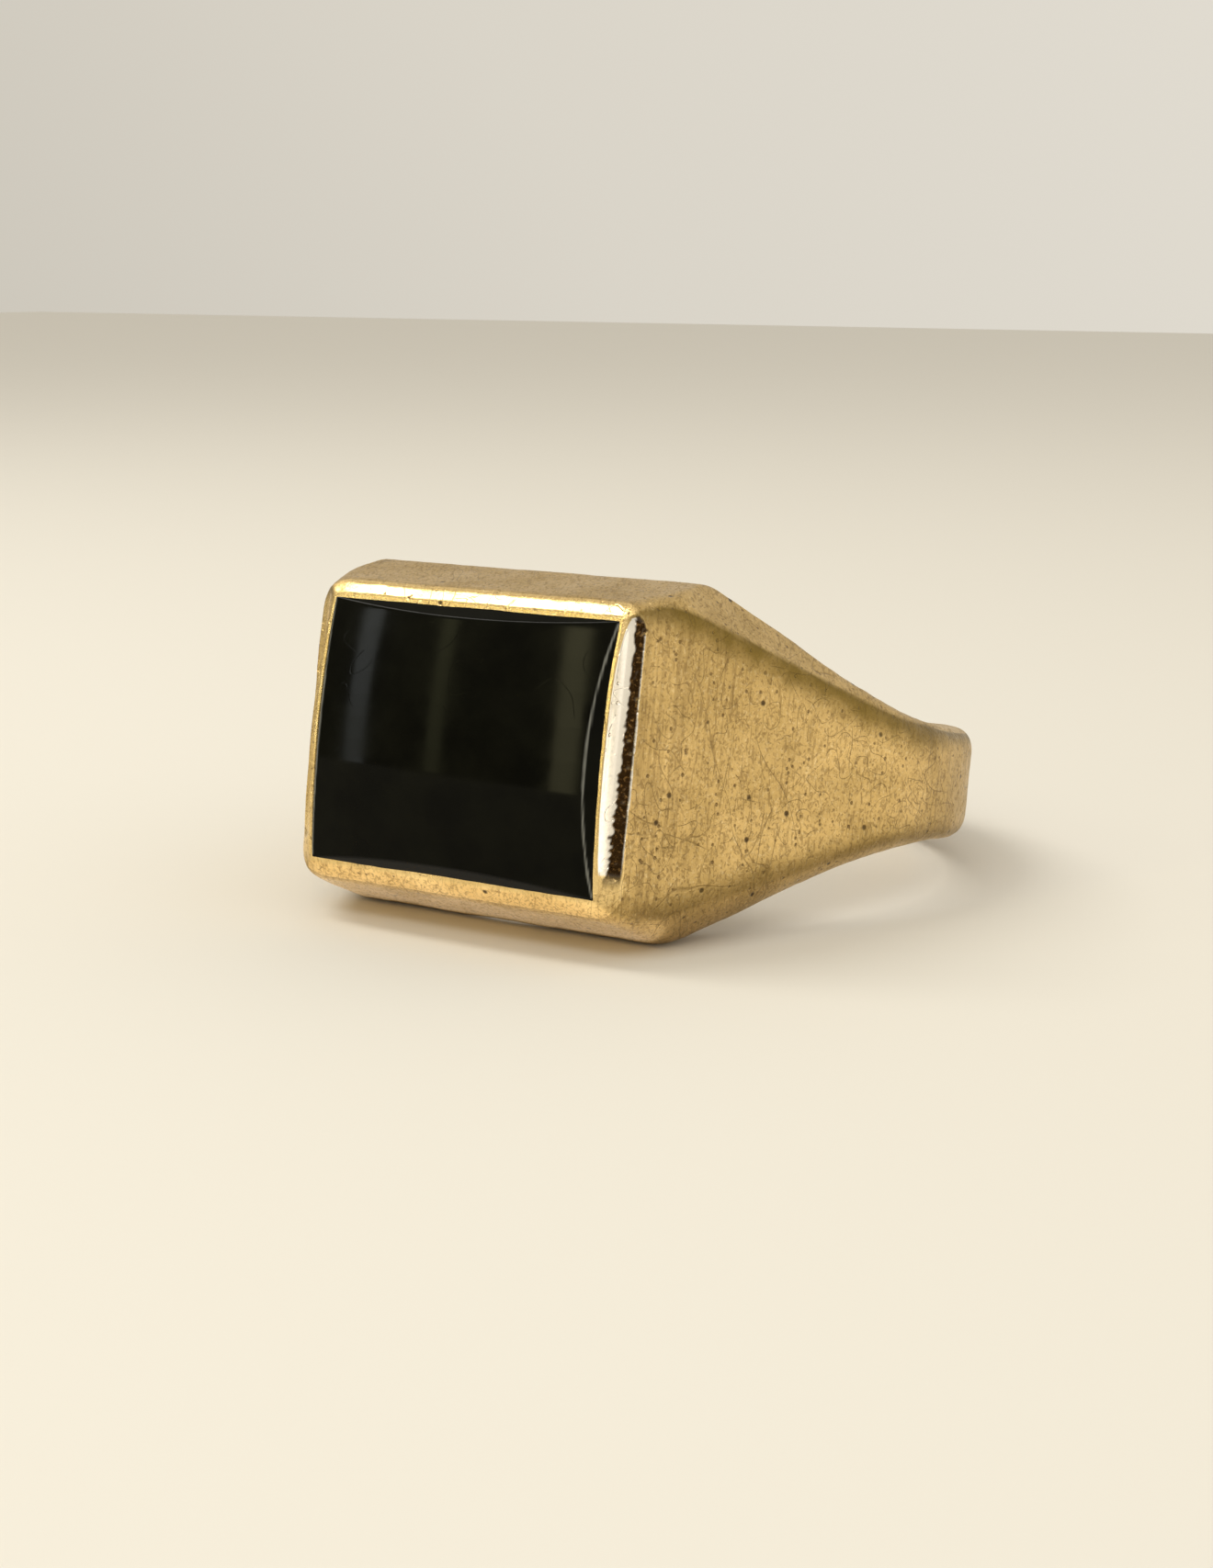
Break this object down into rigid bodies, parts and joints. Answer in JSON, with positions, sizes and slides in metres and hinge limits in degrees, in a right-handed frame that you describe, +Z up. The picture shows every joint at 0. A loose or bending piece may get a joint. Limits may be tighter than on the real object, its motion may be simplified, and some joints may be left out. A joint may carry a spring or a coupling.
{
  "type": "signet ring",
  "caption": "Worn gold signet ring with a flush-set rectangular black stone, tapering flat shoulders and a narrow band, lying on its side.",
  "frame": {"origin": "middle of the underside of the ring's box, on the table, as the ring lies on its side", "axes": "+Z up from the table; -Y the way the stone faces; +X along the stone's long side, to the right seen from in front. The ring's mirror plane is X = 0. The finger axis leans 10.71 degrees from +Z towards +Y, because the wide head and the narrow hoop both touch the table."},
  "size_m": [0.0196, 0.023, 0.0103],
  "materials": {
    "worn_gold": "9 carat yellow gold, satin from years of fine scratches",
    "bright_gold": "9 carat yellow gold, polished chamfers and bright cuts",
    "gold_solder": "gold solder, slightly paler than the gold",
    "cement": "matte stone-setter's cement",
    "onyx": "polished black onyx"
  },
  "bodies": {
    "root": {"shank": "worn_gold", "shank_seam": "gold_solder", "bezel_frame": "bright_gold", "bezel_solder": "gold_solder", "setting_cement": "cement", "onyx_stone": "onyx"}
  },
  "joints": []
}
